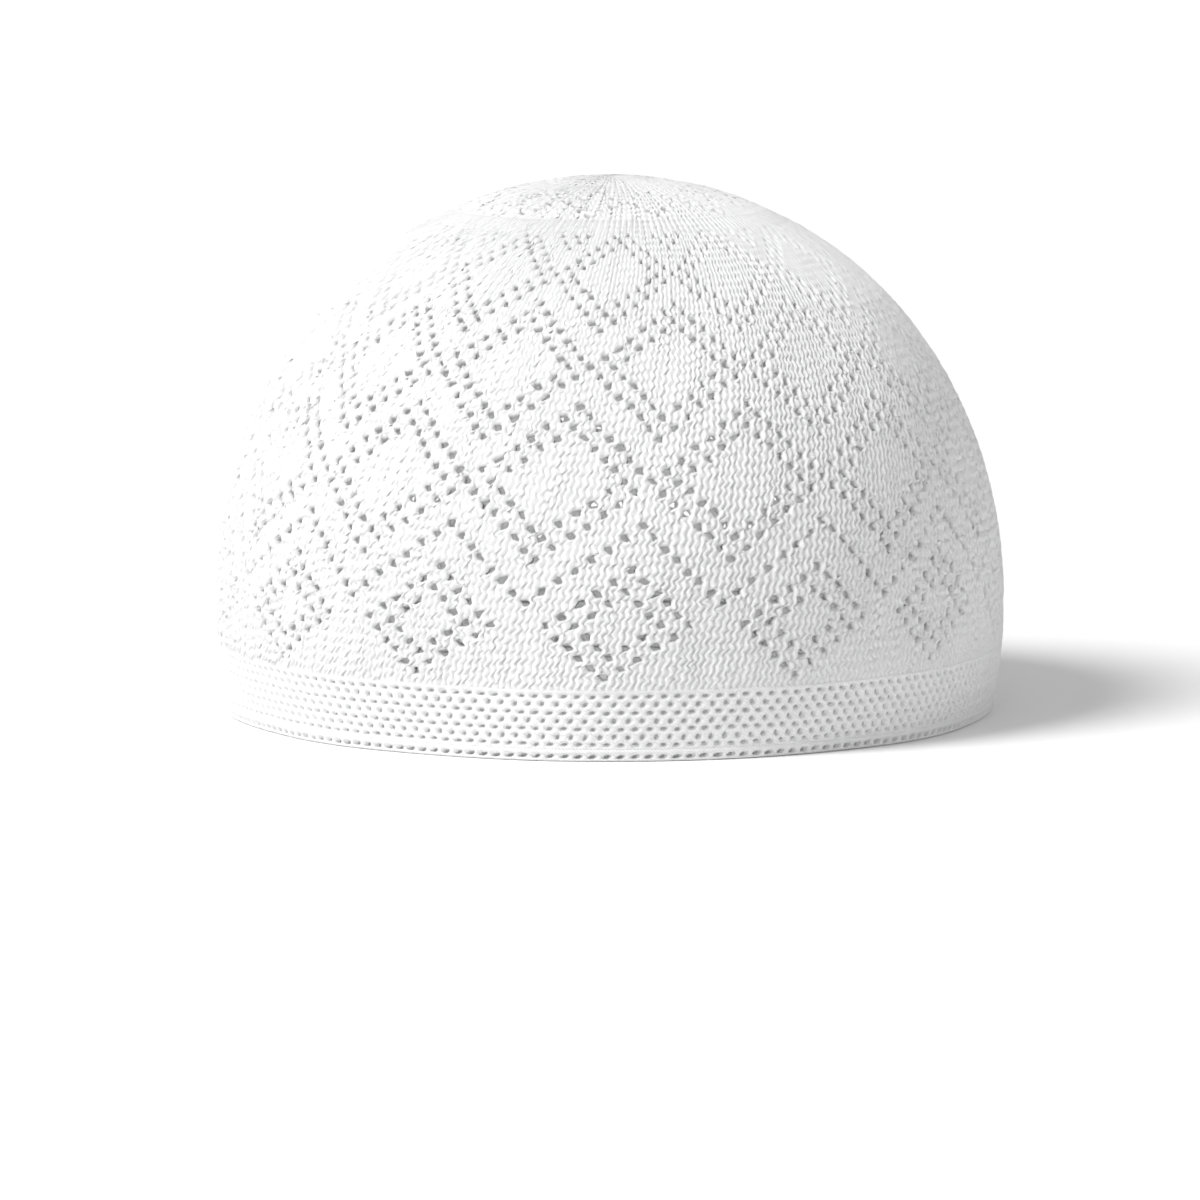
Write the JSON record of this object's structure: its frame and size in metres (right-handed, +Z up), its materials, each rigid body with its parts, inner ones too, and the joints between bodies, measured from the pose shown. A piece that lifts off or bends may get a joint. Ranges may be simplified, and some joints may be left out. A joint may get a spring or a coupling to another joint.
{
  "type": "kufi",
  "caption": "White openwork knitted kufi: a brimless dome cap with a lattice of eyelet diamonds and a turned-up double mesh band.",
  "frame": {"origin": "middle of the rim's oval, on the surface that the cap rests on", "axes": "+Z up through the crown, -Y towards the front of the head, +X towards the wearer's left"},
  "size_m": [0.165, 0.196, 0.112],
  "materials": {
    "openwork_knit": "matt white cotton, plain knit with open eyelets",
    "mesh_knit": "matt white cotton, staggered mesh stitch",
    "rolled_knit": "matt white cotton, rolled edge with rope-like loops"
  },
  "bodies": {
    "root": {"crown": "openwork_knit", "band": "mesh_knit", "rim_edging": "rolled_knit", "hem_edging": "rolled_knit"}
  },
  "joints": []
}
